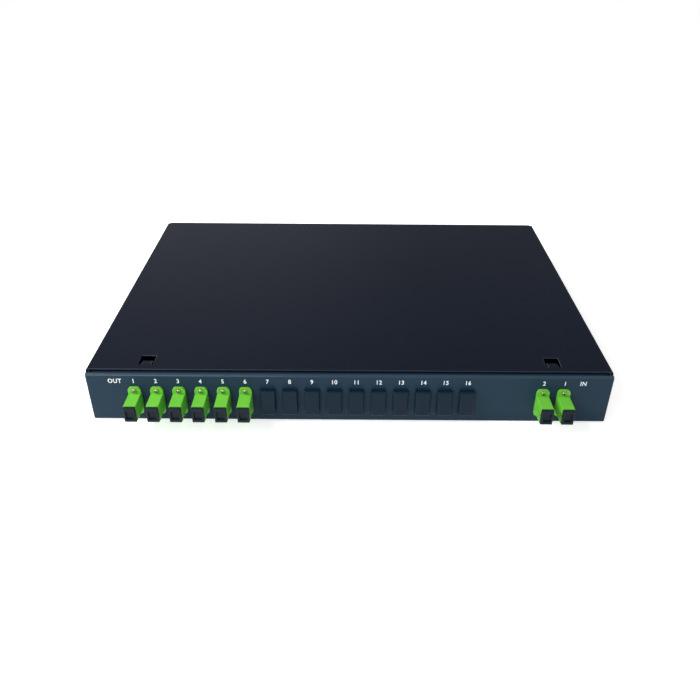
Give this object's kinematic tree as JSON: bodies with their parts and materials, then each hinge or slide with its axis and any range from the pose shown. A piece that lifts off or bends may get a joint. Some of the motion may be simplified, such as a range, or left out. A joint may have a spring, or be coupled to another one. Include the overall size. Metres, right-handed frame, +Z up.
{
  "type": "plc fibre splitter",
  "caption": "One-unit rack chassis that splits fibre inputs to outputs through SC/APC adapters on its front panel, with pull-off dust caps and blanked spare positions.",
  "frame": {"origin": "middle of the chassis footprint, on its underside", "axes": "+X across the front panel to the viewer's right, +Y from the front panel to the rear, +Z up"},
  "size_m": [0.3936, 0.3069, 0.0444],
  "materials": {
    "black_powder_coat": "fine matt powder coat",
    "green_adapter": "moulded, semi-gloss",
    "ivory_insert": "moulded",
    "black_cap": "soft moulded",
    "green_connector": "moulded, semi-gloss",
    "green_boot": "soft moulded",
    "black_blank": "moulded, fine texture",
    "zirconia": "ground ceramic",
    "screw_steel": "bright zinc plate",
    "module_steel": "drawn tube",
    "white_plastic": "moulded",
    "fibre_jacket": "smooth tight buffer",
    "clear_tubing": "loose tube"
  },
  "bodies": {
    "chassis": {"base_tray": "black_powder_coat", "top_cover": "black_powder_coat", "module_cradle": "white_plastic", "fibre_coil": "fibre_jacket", "pigtails_out": "fibre_jacket", "pigtails_in": "fibre_jacket", "module_leads": "clear_tubing", "splitter_1x4": "module_steel", "splitter_1x2": "module_steel", "coil_saddles": "white_plastic", "strain_boots": "green_boot", "alignment_sleeves": "zirconia", "adapter_screws": "screw_steel", "cover_screws": "screw_steel", "adapter_out_1": "green_adapter", "latch_insert_out_1": "ivory_insert", "plug_out_1": "green_connector", "adapter_out_2": "green_adapter", "latch_insert_out_2": "ivory_insert", "plug_out_2": "green_connector", "adapter_out_3": "green_adapter", "latch_insert_out_3": "ivory_insert", "plug_out_3": "green_connector", "adapter_out_4": "green_adapter", "latch_insert_out_4": "ivory_insert", "plug_out_4": "green_connector", "adapter_out_5": "green_adapter", "latch_insert_out_5": "ivory_insert", "plug_out_5": "green_connector", "adapter_out_6": "green_adapter", "latch_insert_out_6": "ivory_insert", "plug_out_6": "green_connector", "adapter_in_1": "green_adapter", "latch_insert_in_1": "ivory_insert", "plug_in_1": "green_connector", "adapter_in_2": "green_adapter", "latch_insert_in_2": "ivory_insert", "plug_in_2": "green_connector", "blank_7": "black_blank", "blank_8": "black_blank", "blank_9": "black_blank", "blank_10": "black_blank", "blank_11": "black_blank", "blank_12": "black_blank", "blank_13": "black_blank", "blank_14": "black_blank", "blank_15": "black_blank", "blank_16": "black_blank"},
    "dust_cap_out_1": {"dust_cap_out_1": "black_cap"},
    "dust_cap_out_2": {"dust_cap_out_2": "black_cap"},
    "dust_cap_out_3": {"dust_cap_out_3": "black_cap"},
    "dust_cap_out_4": {"dust_cap_out_4": "black_cap"},
    "dust_cap_out_5": {"dust_cap_out_5": "black_cap"},
    "dust_cap_out_6": {"dust_cap_out_6": "black_cap"},
    "dust_cap_in_1": {"dust_cap_in_1": "black_cap"},
    "dust_cap_in_2": {"dust_cap_in_2": "black_cap"}
  },
  "joints": [
    {"name": "dust_cap_out_1_pull", "type": "slide", "parent": "chassis", "child": "dust_cap_out_1", "axis": [0, -1, 0], "range_m": [0, 0.025]},
    {"name": "dust_cap_out_2_pull", "type": "slide", "parent": "chassis", "child": "dust_cap_out_2", "axis": [0, -1, 0], "range_m": [0, 0.025]},
    {"name": "dust_cap_out_3_pull", "type": "slide", "parent": "chassis", "child": "dust_cap_out_3", "axis": [0, -1, 0], "range_m": [0, 0.025]},
    {"name": "dust_cap_out_4_pull", "type": "slide", "parent": "chassis", "child": "dust_cap_out_4", "axis": [0, -1, 0], "range_m": [0, 0.025]},
    {"name": "dust_cap_out_5_pull", "type": "slide", "parent": "chassis", "child": "dust_cap_out_5", "axis": [0, -1, 0], "range_m": [0, 0.025]},
    {"name": "dust_cap_out_6_pull", "type": "slide", "parent": "chassis", "child": "dust_cap_out_6", "axis": [0, -1, 0], "range_m": [0, 0.025]},
    {"name": "dust_cap_in_1_pull", "type": "slide", "parent": "chassis", "child": "dust_cap_in_1", "axis": [0, -1, 0], "range_m": [0, 0.025]},
    {"name": "dust_cap_in_2_pull", "type": "slide", "parent": "chassis", "child": "dust_cap_in_2", "axis": [0, -1, 0], "range_m": [0, 0.025]}
  ]
}
